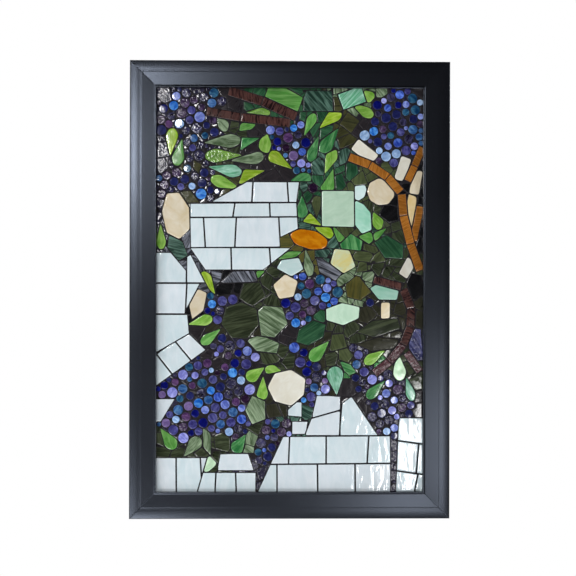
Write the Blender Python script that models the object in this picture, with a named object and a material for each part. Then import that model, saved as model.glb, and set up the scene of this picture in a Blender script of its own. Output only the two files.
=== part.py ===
"""Framed glass mosaic wall panel: a grape vine over a pale stone wall.

A mitred picture frame holds a thin board. Pieces of cut sheet glass lie on the board in a bed of
dark grout: opal wall stones, leaves, cut round grapes, vine stems and irregular shards between them.
Metres, X to the right, Z up. The front looks along -Y and the flat back lies in the plane y = 0.
"""

import math
import random

import bmesh
import bpy
from mathutils import Matrix

# Picture and board
OPENING_WIDTH = 0.3950
OPENING_HEIGHT = 0.5982
REBATE_COVER = 0.0057
BOARD_THICKNESS = 0.0060
BED_THICKNESS = 0.0024
LAYER_GAP = 0.0003
BOARD_FIT = 0.0004

# Frame moulding, measured from its outer edge inwards and from its back forwards
MOULDING_WIDTH = 0.0395
MOULDING_DEPTH = 0.0220
OUTER_EDGE_ROUND = 0.0012
OUTER_EDGE_DROP = 0.0011
BAND_WIDTH = 0.0145
CREASE_WIDTH = 0.0022
CREASE_DEPTH = 0.0003
SCOOP_FALL = 0.0008
LIP_WIDTH = 0.0026
LIP_RISE = 0.0003
LIP_DROP = 0.0009
MITRE_GAP = 0.0003
SCOOP_STEPS = 5

# Thickness of each kind of glass
STONE_GLASS = 0.0032
ACCENT_GLASS = 0.0033
LEAF_GLASS = 0.0031
AMBER_GLASS = 0.0034
PLUM_GLASS = 0.0035
SLAB_GLASS = 0.0030
SHARD_GLASS = 0.0028
GRAPE_GLASS = 0.0036

# Joints between the pieces of glass
JOINT = 0.0018
STONE_JOINT = 0.0022
GRAPE_JOINT = 0.0009
STEM_JOINT = 0.0012
STONE_LEAN = 0.0016
SEAT_GAP = 0.0003
UNDER_LIP = 0.0020

# Least piece that a cutter would keep
LEAST_SPAN = 0.0078
LEAST_WIDTH = 0.0045
LEAST_EDGE = 0.0014

# Grapes
GRAPE_RADIUS_MIN = 0.0054
GRAPE_RADIUS_MAX = 0.0082
GRAPE_SIDES = 6
GRAPE_PITCH = 0.0156
GRAPE_STRAY = 0.0010
GRAPE_ROWS_TURN = 17
GRAPE_EVERY = 3

# Shards that fill the ground
SHARD_RADIUS_MIN = 0.011
SHARD_RADIUS_MAX = 0.024
SHARD_TRIES = 1500
SHARD_COUNT = 68
SHARD_ROOM = 0.0022
SHARD_LEAST_SPAN = 0.0105

NODE_LIMIT = 60
SEED = 7

# Wall patches: four corners, tilt in degrees, course heights and stone length.
# Places are shares of the picture's width and height from its upper left corner,
# lengths are shares of its width.
WALL_PATCHES = (
    (((0.204, 0.283), (0.343, 0.231), (0.534, 0.231), (0.523, 0.283)), 0, (0.079,), 0.135),
    (((0.125, 0.286), (0.523, 0.283), (0.534, 0.395), (0.125, 0.395)), 0.5, (0.054, 0.114), 0.143),
    (((0.125, 0.395), (0.504, 0.395), (0.395, 0.452), (0.185, 0.452)), 0, (0.086,), 0.143),
    (((-0.01, 0.407), (0.121, 0.407), (0.181, 0.484), (-0.01, 0.484)), 0, (0.116,), 0.113),
    (((-0.01, 0.484), (0.174, 0.484), (0.121, 0.561), (-0.01, 0.561)), 0, (0.116,), 0.101),
    (((-0.01, 0.561), (0.114, 0.561), (0.121, 0.608), (-0.01, 0.658)), 0, (0.150,), 0.225),
    (((-0.01, 0.664), (0.117, 0.608), (0.185, 0.651), (-0.01, 0.755)), 36, (0.098, 0.053), 0.090),
    (((-0.01, 0.770), (0.069, 0.770), (0.016, 0.827), (-0.01, 0.827)), 0, (0.090,), 0.113),
    (((-0.01, 0.916), (0.189, 0.916), (0.148, 1.01), (-0.01, 1.01)), 0, (0.145,), 0.113),
    (((0.174, 0.953), (0.384, 0.953), (0.373, 1.01), (0.148, 1.01)), 0, (0.085,), 0.075),
    (((0.241, 0.909), (0.343, 0.906), (0.365, 0.948), (0.230, 0.948)), 0, (0.068,), 0.165),
    (((0.478, 0.864), (0.880, 0.864), (0.880, 1.01), (0.377, 1.01)), 0.4, (0.105, 0.115), 0.139),
    (((0.604, 0.762), (0.690, 0.766), (0.690, 0.797), (0.585, 0.817)), 0, (0.200,), 0.500),
    (((0.583, 0.821), (0.690, 0.801), (0.686, 0.861), (0.560, 0.861)), 0, (0.200,), 0.500),
    (((0.733, 0.766), (0.831, 0.861), (0.690, 0.861), (0.700, 0.782)), 0, (0.200,), 0.500),
    (((0.492, 0.781), (0.545, 0.778), (0.545, 0.815), (0.492, 0.812)), 0, (0.200,), 0.500),
    (((0.508, 0.826), (0.568, 0.826), (0.560, 0.858), (0.508, 0.858)), 0, (0.200,), 0.500),
    (((0.913, 0.819), (1.01, 0.819), (1.01, 1.01), (0.902, 1.01)), -8, (0.098, 0.113, 0.110), 0.120),
)

# Large odd pieces: place, length, width, turn in degrees and number of sides
CREAM_PIECES = (
    (0.072, 0.315, 0.173, 0.098, 98, 7),
    (0.155, 0.534, 0.113, 0.056, 70, 5),
    (0.485, 0.494, 0.094, 0.083, 60, 5),
    (0.699, 0.427, 0.098, 0.079, -55, 5),
    (0.489, 0.742, 0.135, 0.124, 0, 7),
    (0.842, 0.256, 0.098, 0.094, 0, 9),
    (0.782, 0.157, 0.124, 0.060, -38, 4),
    (0.925, 0.199, 0.113, 0.049, 72, 4),
    (0.976, 0.231, 0.113, 0.045, 80, 4),
    (0.955, 0.306, 0.139, 0.045, 82, 5),
    (0.943, 0.445, 0.090, 0.049, 60, 4),
    (0.861, 0.551, 0.075, 0.041, 90, 4),
)
MINT_PIECES = (
    (0.680, 0.298, 0.152, 0.168, 0, 4),
    (0.759, 0.258, 0.068, 0.056, 20, 5),
    (0.767, 0.318, 0.124, 0.068, -68, 6),
    (0.861, 0.504, 0.113, 0.068, -12, 5),
    (0.699, 0.559, 0.131, 0.075, 3, 6),
    (0.497, 0.445, 0.105, 0.068, 20, 5),
)
ORANGE_PIECES = (
    (0.575, 0.375, 0.139, 0.068, -15, 7),
)
SLAB_PIECES = (
    (0.448, 0.020, 0.218, 0.098, -20, 5),
    (0.605, 0.030, 0.143, 0.098, 0, 4),
    (0.733, 0.023, 0.113, 0.075, 20, 4),
    (0.316, 0.576, 0.128, 0.128, 10, 7),
    (0.422, 0.579, 0.135, 0.120, 20, 6),
    (0.403, 0.636, 0.128, 0.060, -15, 5),
    (0.358, 0.509, 0.098, 0.090, 20, 5),
    (0.647, 0.447, 0.113, 0.060, -40, 5),
    (0.759, 0.497, 0.098, 0.083, 10, 6),
    (0.733, 0.392, 0.090, 0.083, 60, 5),
    (0.880, 0.310, 0.068, 0.083, 80, 5),
    (0.880, 0.395, 0.075, 0.113, 60, 5),
    (0.842, 0.593, 0.158, 0.060, 12, 5),
    (0.838, 0.633, 0.158, 0.049, 0, 5),
    (0.579, 0.608, 0.075, 0.113, -60, 6),
    (0.313, 0.472, 0.135, 0.060, 10, 5),
    (0.076, 0.395, 0.098, 0.056, -60, 5),
    (0.962, 0.492, 0.090, 0.113, 10, 5),
    (0.973, 0.621, 0.060, 0.210, 5, 4),
    (0.373, 0.799, 0.075, 0.098, 0, 5),
)

# Vine stems: the line each one follows and its width
AMBER_STEMS = (
    (((0.722, 0.169), (0.801, 0.189), (0.868, 0.219), (0.917, 0.256)), 0.030),
    (((0.921, 0.261), (0.928, 0.315), (0.955, 0.385), (0.992, 0.452)), 0.030),
    (((1.000, 0.144), (0.970, 0.191), (0.943, 0.229)), 0.026),
    (((0.992, 0.291), (0.966, 0.378)), 0.026),
)
PLUM_STEMS = (
    (((0.268, 0.006), (0.395, 0.032), (0.523, 0.070)), 0.033),
    (((0.185, 0.057), (0.313, 0.072), (0.500, 0.086)), 0.030),
    (((0.816, 0.474), (0.921, 0.492)), 0.026),
    (((0.928, 0.497), (0.958, 0.546), (0.955, 0.591), (0.928, 0.636), (0.876, 0.678), (0.819, 0.708)), 0.030),
    (((0.940, 0.655), (0.992, 0.703)), 0.026),
)

# Leaf sprays: place of the first leaf, step to the next, count, turn of the first leaf,
# further turn over the spray, leaf length and leaf width
LEAF_SPRAYS = (
    (0.245, 0.132, 0.005, 0.035, 4, 5, -23, 0.128, 0.051),
    (0.321, 0.094, 0.009, 0.040, 4, 24, -16, 0.124, 0.053),
    (0.404, 0.124, 0.059, 0.055, 3, -80, 100, 0.115, 0.051),
    (0.572, 0.090, 0.018, 0.059, 2, 60, 15, 0.098, 0.041),
    (0.651, 0.075, -0.001, 0.053, 4, 42, 33, 0.105, 0.051),
    (0.545, 0.293, 0.057, 0.000, 2, -95, 3, 0.083, 0.047),
    (0.579, 0.325, 0.041, 0.025, 2, 155, -5, 0.101, 0.047),
    (0.688, 0.373, 0.083, -0.015, 2, -60, 200, 0.105, 0.049),
    (0.827, 0.318, 0.008, 0.037, 3, -72, 222, 0.101, 0.045),
    (0.054, 0.134, 0.030, 0.025, 2, 85, -7, 0.105, 0.049),
    (0.180, 0.438, 0.014, 0.046, 2, 115, -175, 0.094, 0.047),
    (0.163, 0.579, 0.041, 0.037, 2, 20, 15, 0.098, 0.045),
    (0.133, 0.891, 0.052, -0.012, 2, 55, -125, 0.098, 0.056),
    (0.823, 0.665, 0.053, -0.002, 2, 215, -175, 0.101, 0.045),
    (0.609, 0.586, 0.004, 0.065, 2, 62, -22, 0.105, 0.056),
    (0.373, 0.462, -0.038, 0.032, 2, 215, 57, 0.100, 0.047),
    (0.241, 0.077, 0.139, -0.017, 2, -65, 245, 0.096, 0.043),
    (0.771, 0.052, -0.004, -0.029, 2, -28, 223, 0.103, 0.046),
)

# Single leaves: place, turn, length and width
LONE_LEAVES = (
    (0.016, 0.368, -88, 0.098, 0.038),
    (0.373, 0.708, 215, 0.083, 0.053),
    (0.399, 0.745, -92, 0.094, 0.045),
    (0.452, 0.705, 160, 0.094, 0.047),
    (0.042, 0.869, -55, 0.098, 0.053),
    (0.196, 0.938, 58, 0.094, 0.045),
    (0.313, 0.881, 235, 0.083, 0.053),
    (0.673, 0.727, 95, 0.113, 0.068),
    (0.913, 0.690, -85, 0.109, 0.053),
    (0.951, 0.745, -75, 0.098, 0.038),
    (0.827, 0.747, 225, 0.098, 0.045),
    (0.568, 0.432, -80, 0.105, 0.041),
    (0.497, 0.417, 200, 0.105, 0.060),
    (0.898, 0.392, 220, 0.098, 0.060),
    (0.977, 0.378, 90, 0.150, 0.038),
    (0.455, 0.282, 15, 0.075, 0.045),
)

# Grape clusters as ellipses: centre, half width, half height and tilt in degrees
GRAPE_CLUSTERS = (
    (0.117, 0.100, 0.124, 0.150, 0),
    (0.219, 0.045, 0.056, 0.064, 0),
    (0.106, 0.224, 0.101, 0.053, 0),
    (0.016, 0.298, 0.023, 0.120, 0),
    (0.181, 0.253, 0.045, 0.038, 0),
    (0.898, 0.090, 0.105, 0.139, 0),
    (0.876, 0.184, 0.056, 0.083, 0),
    (0.508, 0.144, 0.090, 0.135, 25),
    (0.583, 0.209, 0.053, 0.068, 0),
    (0.223, 0.541, 0.060, 0.060, 0),
    (0.245, 0.601, 0.060, 0.075, 0),
    (0.313, 0.655, 0.064, 0.083, 0),
    (0.193, 0.780, 0.188, 0.143, -14),
    (0.283, 0.755, 0.105, 0.105, 0),
    (0.057, 0.819, 0.060, 0.060, 0),
    (0.549, 0.536, 0.060, 0.105, 0),
    (0.553, 0.638, 0.053, 0.083, 0),
    (0.549, 0.705, 0.045, 0.060, 0),
    (0.605, 0.502, 0.038, 0.060, 0),
    (0.425, 0.884, 0.045, 0.105, -14),
    (0.474, 0.849, 0.045, 0.030, 0),
    (0.605, 0.770, 0.030, 0.113, 0),
    (0.793, 0.571, 0.045, 0.113, 0),
    (0.782, 0.651, 0.045, 0.090, 0),
    (0.831, 0.720, 0.083, 0.083, 0),
    (0.868, 0.787, 0.075, 0.090, 0),
    (0.898, 0.849, 0.060, 0.083, 0),
    (0.891, 0.924, 0.019, 0.120, 0),
    (0.981, 0.787, 0.023, 0.075, 0),
)

# Leaf outline as shares of its length and width: a point at one end and a round bulb at the other
LEAF_OUTLINE = (
    (-0.50, 0.00),
    (0.02, -0.37),
    (0.28, -0.50),
    (0.50, -0.17),
    (0.47, 0.23),
    (0.22, 0.50),
    (-0.04, 0.31),
)

# Sizes that follow from the ones above
BOARD_WIDTH = OPENING_WIDTH + 2 * REBATE_COVER
BOARD_HEIGHT = OPENING_HEIGHT + 2 * REBATE_COVER
OUTER_WIDTH = OPENING_WIDTH + 2 * MOULDING_WIDTH
OUTER_HEIGHT = OPENING_HEIGHT + 2 * MOULDING_WIDTH
BED_BACK = BOARD_THICKNESS + LAYER_GAP
BED_FRONT = BED_BACK + BED_THICKNESS
PRISM_ROOT = BED_BACK + BED_THICKNESS / 2
REBATE_DEPTH = BED_BACK + GRAPE_GLASS + LAYER_GAP


def emptied_scene():
    """Remove what the scene starts with and return the collections for the panel and for tools."""
    for thing in list(bpy.data.objects):
        bpy.data.objects.remove(thing, do_unlink=True)
    panel = bpy.data.collections.new("glass_wall_panel")
    tools = bpy.data.collections.new("tools")
    for group in (panel, tools):
        bpy.context.scene.collection.children.link(group)
    return panel, tools


def finish(name, colour, roughness, metallic=0.0):
    """Return a plain material."""
    material = bpy.data.materials.new(name)
    material.use_nodes = True
    shader = material.node_tree.nodes["Principled BSDF"]
    shader.inputs["Base Color"].default_value = (*colour, 1.0)
    shader.inputs["Roughness"].default_value = roughness
    shader.inputs["Metallic"].default_value = metallic
    material.diffuse_color = (*colour, 1.0)
    return material


def area(outline):
    """Area of a flat outline, positive when it runs anticlockwise."""
    pairs = zip(outline, outline[1:] + outline[:1])
    return 0.5 * sum(a[0] * b[1] - b[0] * a[1] for a, b in pairs)


def cut(outline, nx, nz, limit):
    """Keep the part of a convex outline where nx*x + nz*z is at most the limit."""
    kept = []
    for a, b in zip(outline, outline[1:] + outline[:1]):
        depth_a = nx * a[0] + nz * a[1] - limit
        depth_b = nx * b[0] + nz * b[1] - limit
        if depth_a <= 0:
            kept.append(a)
        if depth_a * depth_b < 0:
            share = depth_a / (depth_a - depth_b)
            kept.append((a[0] + share * (b[0] - a[0]), a[1] + share * (b[1] - a[1])))
    return kept


def sides(outline):
    """Outward normal and offset of each side of a convex outline."""
    lines = []
    for a, b in zip(outline, outline[1:] + outline[:1]):
        length = math.dist(a, b)
        if length > 1e-7:
            nx, nz = (b[1] - a[1]) / length, (a[0] - b[0]) / length
            lines.append((nx, nz, nx * a[0] + nz * a[1]))
    return lines


def narrowest(outline):
    """Least width of a convex outline."""
    return min(max(limit - nx * x - nz * z for x, z in outline) for nx, nz, limit in sides(outline))


def joined_corners(outline):
    """Merge corners that lie closer together than a cutter could cut."""
    points = list(outline)
    index = 0
    while index < len(points) and len(points) > 3:
        following = (index + 1) % len(points)
        a, b = points[index], points[following]
        if math.dist(a, b) < LEAST_EDGE:
            points[index] = ((a[0] + b[0]) / 2, (a[1] + b[1]) / 2)
            del points[following]
            index = 0
        else:
            index += 1
    return points


def grown(outline, gap):
    """A convex outline moved outwards by the gap, with long mitres cut short."""
    lines = sides(outline)
    points = []
    for (ax, az, a_limit), (bx, bz, b_limit) in zip(lines[-1:] + lines[:-1], lines):
        cross = ax * bz - az * bx
        points.append((
            ((a_limit + gap) * bz - (b_limit + gap) * az) / cross,
            ((b_limit + gap) * ax - (a_limit + gap) * bx) / cross,
        ))
    for (ax, az, _), (bx, bz, _), corner in zip(lines[-1:] + lines[:-1], lines, outline):
        mx, mz = ax + bx, az + bz
        size = math.hypot(mx, mz)
        mx, mz = mx / size, mz / size
        points = cut(points, mx, mz, mx * corner[0] + mz * corner[1] + 1.6 * gap)
    return points


def turned(outline, degrees, centre=(0.0, 0.0)):
    """Turn an outline about the origin, then move it to the centre."""
    c, s = math.cos(math.radians(degrees)), math.sin(math.radians(degrees))
    return [(centre[0] + x * c - z * s, centre[1] + x * s + z * c) for x, z in outline]


def in_picture(u, v):
    """Place on the panel of a share of the picture's width and height."""
    return (u - 0.5) * OPENING_WIDTH, (0.5 - v) * OPENING_HEIGHT


def ring(radius_x, radius_z, count, start=0.0):
    """Corners of a flat ring."""
    angles = [start + 2 * math.pi * step / count for step in range(count)]
    return [(radius_x * math.cos(angle), radius_z * math.sin(angle)) for angle in angles]


class Mosaic:
    """The pieces of glass laid so far, in the order in which a maker lays them."""

    def __init__(self, seed):
        self.draw = random.Random(seed)
        self.laid = []
        self.half_width = OPENING_WIDTH / 2 + UNDER_LIP
        self.half_height = OPENING_HEIGHT / 2 + UNDER_LIP

    def trimmed(self, outline, joint):
        """Cut an outline back from the picture's edge and from every piece beside it."""
        for nx, nz, limit in (
            (1, 0, self.half_width), (-1, 0, self.half_width),
            (0, 1, self.half_height), (0, -1, self.half_height),
        ):
            outline = cut(outline, nx, nz, limit)
        for piece in self.laid:
            if len(outline) < 3:
                return None
            outline = self.parted(outline, piece, joint)
        outline = joined_corners(outline)
        return outline if len(outline) > 2 else None

    @staticmethod
    def parted(outline, piece, joint):
        """Cut an outline along the side of a laid piece that leaves the most of it."""
        other = piece["outline"]
        x, z = outline[0]
        reach = max(math.dist((x, z), corner) for corner in outline)
        if math.dist((x, z), piece["centre"]) > reach + piece["reach"] + joint:
            return outline
        for nx, nz, limit in sides(outline):
            if min(nx * a + nz * b for a, b in other) >= limit + joint - 1e-9:
                return outline
        cuts = [cut(outline, -nx, -nz, -limit - joint) for nx, nz, limit in sides(other)]
        cuts = [kept for kept in cuts if len(kept) > 2]
        return max(cuts, key=area) if cuts else []

    def add(self, kind, outline):
        """Record a laid piece."""
        centre = (
            sum(x for x, _ in outline) / len(outline),
            sum(z for _, z in outline) / len(outline),
        )
        reach = max(math.dist(centre, corner) for corner in outline)
        self.laid.append({"kind": kind, "outline": outline, "centre": centre, "reach": reach})

    def lay(self, kind, outline, joint=JOINT, least_span=LEAST_SPAN):
        """Lay one piece where there is room for it."""
        outline = self.trimmed(outline, joint)
        if outline is None or area(outline) < least_span ** 2 or narrowest(outline) < LEAST_WIDTH:
            return False
        self.add(kind, outline)
        return True

    def room(self, x, z, most):
        """Distance from a place to the nearest laid piece or edge, up to the given most."""
        least = min(most, self.half_width - abs(x), self.half_height - abs(z))
        for piece in self.laid:
            if math.dist((x, z), piece["centre"]) < piece["reach"] + most:
                least = min(least, max(nx * x + nz * z - limit for nx, nz, limit in sides(piece["outline"])))
        return least

    def somewhere(self):
        """A place drawn at random in the picture."""
        return (
            self.draw.uniform(-self.half_width, self.half_width),
            self.draw.uniform(-self.half_height, self.half_height),
        )

    def stem(self, kind, line, width):
        """Lay a stem as a row of short strips."""
        points = [in_picture(*place) for place in line]
        half = width * OPENING_WIDTH / 2
        across = []
        for index in range(len(points)):
            a, b = points[max(index - 1, 0)], points[min(index + 1, len(points) - 1)]
            length = math.dist(a, b)
            across.append((-(b[1] - a[1]) / length * half, (b[0] - a[0]) / length * half))
        for a, b, side_a, side_b in zip(points, points[1:], across, across[1:]):
            back = STEM_JOINT / 2 / math.dist(a, b)
            step = ((b[0] - a[0]) * back, (b[1] - a[1]) * back)
            a = (a[0] + step[0], a[1] + step[1])
            b = (b[0] - step[0], b[1] - step[1])
            self.lay(kind, [
                (a[0] - side_a[0], a[1] - side_a[1]),
                (b[0] - side_b[0], b[1] - side_b[1]),
                (b[0] + side_b[0], b[1] + side_b[1]),
                (a[0] + side_a[0], a[1] + side_a[1]),
            ], STEM_JOINT)

    def odd_piece(self, kind, u, v, length, width, degrees, count):
        """Lay one large piece with slightly uneven corners."""
        outline = []
        for x, z in ring(0.56 * length * OPENING_WIDTH, 0.56 * width * OPENING_WIDTH, count, math.pi / count):
            uneven = self.draw.uniform(0.93, 1.05)
            outline.append((x * uneven, z * uneven))
        self.lay(kind, turned(outline, degrees, in_picture(u, v)))

    def leaf(self, u, v, degrees, length, width):
        """Lay one leaf, with its rounder side to the left or to the right."""
        outline = [(x * length * OPENING_WIDTH, z * width * OPENING_WIDTH) for x, z in LEAF_OUTLINE]
        if self.draw.random() < 0.5:
            outline = [(x, -z) for x, z in reversed(outline)]
        self.lay("leaf", turned(outline, degrees, in_picture(u, v)))

    def spray(self, u, v, step_u, step_v, count, degrees, further, length, width):
        """Lay a spray of leaves that point in turn to the one side and the other."""
        for index in range(count):
            lean = degrees + further * index / max(count - 1, 1) + 180 * (index % 2)
            size = self.draw.uniform(0.95, 1.1)
            self.leaf(
                u + step_u * index, v + step_v * index, lean + self.draw.uniform(-6, 6), length * size, width * size,
            )

    def wall(self, corners, degrees, heights, length):
        """Lay one patch of wall in courses, with its joints staggered from course to course."""
        patch = [in_picture(*corner) for corner in corners]
        if area(patch) < 0:
            patch.reverse()
        level = turned(patch, -degrees)
        left, right = min(x for x, _ in level), max(x for x, _ in level)
        top = max(z for _, z in level)
        half = STONE_JOINT / 2
        for course, height in enumerate(heights):
            bottom = top - height * OPENING_WIDTH
            x = left - length * OPENING_WIDTH * (0.45 * (course % 2))
            lean = 0.0
            while x < right:
                end = x + length * OPENING_WIDTH * self.draw.uniform(0.74, 1.26)
                next_lean = self.draw.uniform(-STONE_LEAN, STONE_LEAN)
                stone = turned([
                    (x + half - lean, bottom + half),
                    (end - half - next_lean, bottom + half),
                    (end - half + next_lean, top - half),
                    (x + half + lean, top - half),
                ], degrees)
                for nx, nz, limit in sides(patch):
                    stone = cut(stone, nx, nz, limit)
                if len(stone) > 2:
                    self.lay("stone", stone)
                x, lean = end, next_lean
            top = bottom

    def in_cluster(self, x, z):
        """Whether a place lies in one of the grape clusters."""
        for u, v, half_width, half_height, degrees in GRAPE_CLUSTERS:
            centre = in_picture(u, v)
            a, b = turned([(x - centre[0], z - centre[1])], -degrees)[0]
            if math.hypot(a / half_width, b / half_height) < OPENING_WIDTH:
                return True
        return False

    def grapes(self):
        """Lay round grapes in staggered rows wherever a cluster has room, each row with gaps for beads."""
        reach = int(math.hypot(self.half_width, self.half_height) / GRAPE_PITCH) + 1
        for row in range(-reach, reach + 1):
            for column in range(-reach, reach + 1):
                stray_x = self.draw.uniform(-GRAPE_STRAY, GRAPE_STRAY)
                stray_z = self.draw.uniform(-GRAPE_STRAY, GRAPE_STRAY)
                wanted = self.draw.uniform(GRAPE_RADIUS_MIN, GRAPE_RADIUS_MAX)
                start = self.draw.uniform(0, math.pi)
                level = ((column + 0.5 * (row % 2)) * GRAPE_PITCH, row * GRAPE_PITCH * math.sqrt(0.75))
                x, z = turned([level], GRAPE_ROWS_TURN, (stray_x, stray_z))[0]
                gap = (column + row // 2) % GRAPE_EVERY == 0
                if gap or not self.in_cluster(x, z):
                    continue
                radius = self.room(x, z, wanted + GRAPE_JOINT) - GRAPE_JOINT
                if radius >= GRAPE_RADIUS_MIN:
                    self.add("grape", [(x + a, z + b) for a, b in ring(radius, radius, GRAPE_SIDES, start)])

    def shards(self):
        """Fill the larger gaps of the ground with shards, the largest first."""
        left = SHARD_COUNT
        for turn in range(SHARD_TRIES):
            x, z = self.somewhere()
            largest = SHARD_RADIUS_MAX + (SHARD_RADIUS_MIN - SHARD_RADIUS_MAX) * turn / SHARD_TRIES
            radius = self.draw.uniform(SHARD_RADIUS_MIN, largest)
            outline = ring(radius, radius * self.draw.uniform(0.6, 1.0), self.draw.choice((4, 5, 5)))
            outline = turned(outline, self.draw.uniform(0, 360), (x, z))
            if left and not self.in_cluster(x, z) and self.room(x, z, 2 * SHARD_ROOM) > SHARD_ROOM:
                left -= self.lay("shard", outline, least_span=SHARD_LEAST_SPAN)


def laid_mosaic():
    """Lay the whole picture and return its pieces."""
    mosaic = Mosaic(SEED)
    for line, width in AMBER_STEMS:
        mosaic.stem("amber", line, width)
    for line, width in PLUM_STEMS:
        mosaic.stem("plum", line, width)
    for kind, pieces in (
        ("cream", CREAM_PIECES), ("mint", MINT_PIECES), ("orange", ORANGE_PIECES), ("slab", SLAB_PIECES),
    ):
        for piece in pieces:
            mosaic.odd_piece(kind, *piece)
    for patch in WALL_PATCHES:
        mosaic.wall(*patch)
    for spray in LEAF_SPRAYS:
        mosaic.spray(*spray)
    for lone in LONE_LEAVES:
        mosaic.leaf(*lone)
    mosaic.grapes()
    mosaic.shards()
    return mosaic.laid


def slab_object(name, outlines, back, front, material, group):
    """Flat outlines made into a solid between two depths, an inner outline being a hole."""
    drawing = bpy.data.curves.new(name, "CURVE")
    drawing.dimensions = "2D"
    drawing.fill_mode = "BOTH"
    drawing.extrude = (front - back) / 2
    for outline in outlines:
        spline = drawing.splines.new("POLY")
        spline.points.add(len(outline) - 1)
        spline.use_cyclic_u = True
        for point, (x, z) in zip(spline.points, outline):
            point.co = (x, z, 0.0, 1.0)
    drawn = bpy.data.objects.new(name + "_drawing", drawing)
    mesh = bpy.data.meshes.new_from_object(drawn)
    bpy.data.objects.remove(drawn, do_unlink=True)
    mesh.name = name
    work = bmesh.new()
    work.from_mesh(mesh)
    bmesh.ops.remove_doubles(work, verts=work.verts, dist=1e-6)
    bmesh.ops.recalc_face_normals(work, faces=work.faces)
    work.to_mesh(mesh)
    work.free()
    mesh.transform(Matrix.Translation((0, -(front + back) / 2, 0)) @ Matrix.Rotation(math.pi / 2, 4, "X"))
    mesh.materials.clear()
    mesh.materials.append(material)
    solid = bpy.data.objects.new(name, mesh)
    group.objects.link(solid)
    return solid


def moulding_profile():
    """Section of the frame moulding as distance from the outer edge and height above the back."""
    band_top = MOULDING_DEPTH
    scoop_start = BAND_WIDTH + CREASE_WIDTH
    lip_start = MOULDING_WIDTH - LIP_WIDTH
    scoop_end = band_top - SCOOP_FALL
    section = [
        (0.0, 0.0),
        (0.0, band_top - OUTER_EDGE_DROP),
        (0.3 * OUTER_EDGE_ROUND, band_top - 0.5 * OUTER_EDGE_DROP),
        (OUTER_EDGE_ROUND, band_top - 0.2 * OUTER_EDGE_DROP),
        (0.55 * BAND_WIDTH, band_top),
        (BAND_WIDTH, band_top - 0.1 * OUTER_EDGE_DROP),
        (BAND_WIDTH + CREASE_WIDTH / 2, band_top - CREASE_DEPTH),
    ]
    for step in range(SCOOP_STEPS + 1):
        share = step / SCOOP_STEPS
        fall = math.sin(share * math.pi / 2)
        across = scoop_start + (lip_start - scoop_start) * share
        section.append((across, band_top - 0.12 * SCOOP_FALL - 0.88 * SCOOP_FALL * fall))
    section += [
        (lip_start + 0.25 * LIP_WIDTH, scoop_end + 0.85 * LIP_RISE),
        (lip_start + 0.55 * LIP_WIDTH, scoop_end + LIP_RISE),
        (lip_start + 0.88 * LIP_WIDTH, scoop_end + 0.6 * LIP_RISE),
        (MOULDING_WIDTH, scoop_end + LIP_RISE - LIP_DROP),
        (MOULDING_WIDTH, REBATE_DEPTH),
        (MOULDING_WIDTH - REBATE_COVER - BOARD_FIT, REBATE_DEPTH),
        (MOULDING_WIDTH - REBATE_COVER - BOARD_FIT, 0.0),
    ]
    return section


def rail(name, length, placing, material, group):
    """One length of moulding with mitred ends."""
    solid = slab_object(name, [moulding_profile()], -length / 2, length / 2, material, group)
    pull_back = MITRE_GAP / math.sqrt(2)
    for vertex in solid.data.vertices:
        along = -1 if vertex.co.y < 0 else 1
        vertex.co.y = along * (length / 2 - vertex.co.x - pull_back)
    solid.matrix_world = placing
    return solid


def rail_placing(degrees, half_size):
    """Turn a rail about Y from the foot of the frame to its own side."""
    section_up = Matrix(((0, -1, 0, 0), (0, 0, -1, 0), (1, 0, 0, -half_size), (0, 0, 0, 1)))
    return Matrix.Rotation(math.radians(degrees), 4, "Y") @ section_up


def build_frame(material, group):
    """The four rails of the picture frame."""
    for name, length, degrees, half_size in (
        ("frame_rail_bottom", OUTER_WIDTH, 0, OUTER_HEIGHT / 2),
        ("frame_rail_left", OUTER_HEIGHT, 90, OUTER_WIDTH / 2),
        ("frame_rail_top", OUTER_WIDTH, 180, OUTER_HEIGHT / 2),
        ("frame_rail_right", OUTER_HEIGHT, 270, OUTER_WIDTH / 2),
    ):
        rail(name, length, rail_placing(degrees, half_size), material, group)


def board_outline():
    """Outline of the back board, and of the bed that covers it."""
    x, z = BOARD_WIDTH / 2, BOARD_HEIGHT / 2
    return [(-x, -z), (x, -z), (x, z), (-x, z)]


def shape_bed(bed, name, operation, outlines, back, front, material, tools):
    """Cut seats into the bed, or join glass to it."""
    tool = slab_object(name, outlines, back, front, material, tools)
    tool.hide_render = True
    tool.display_type = "WIRE"
    change = bed.modifiers.new(name, "BOOLEAN")
    change.operation = operation
    change.solver = "EXACT"
    change.object = tool


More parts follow.
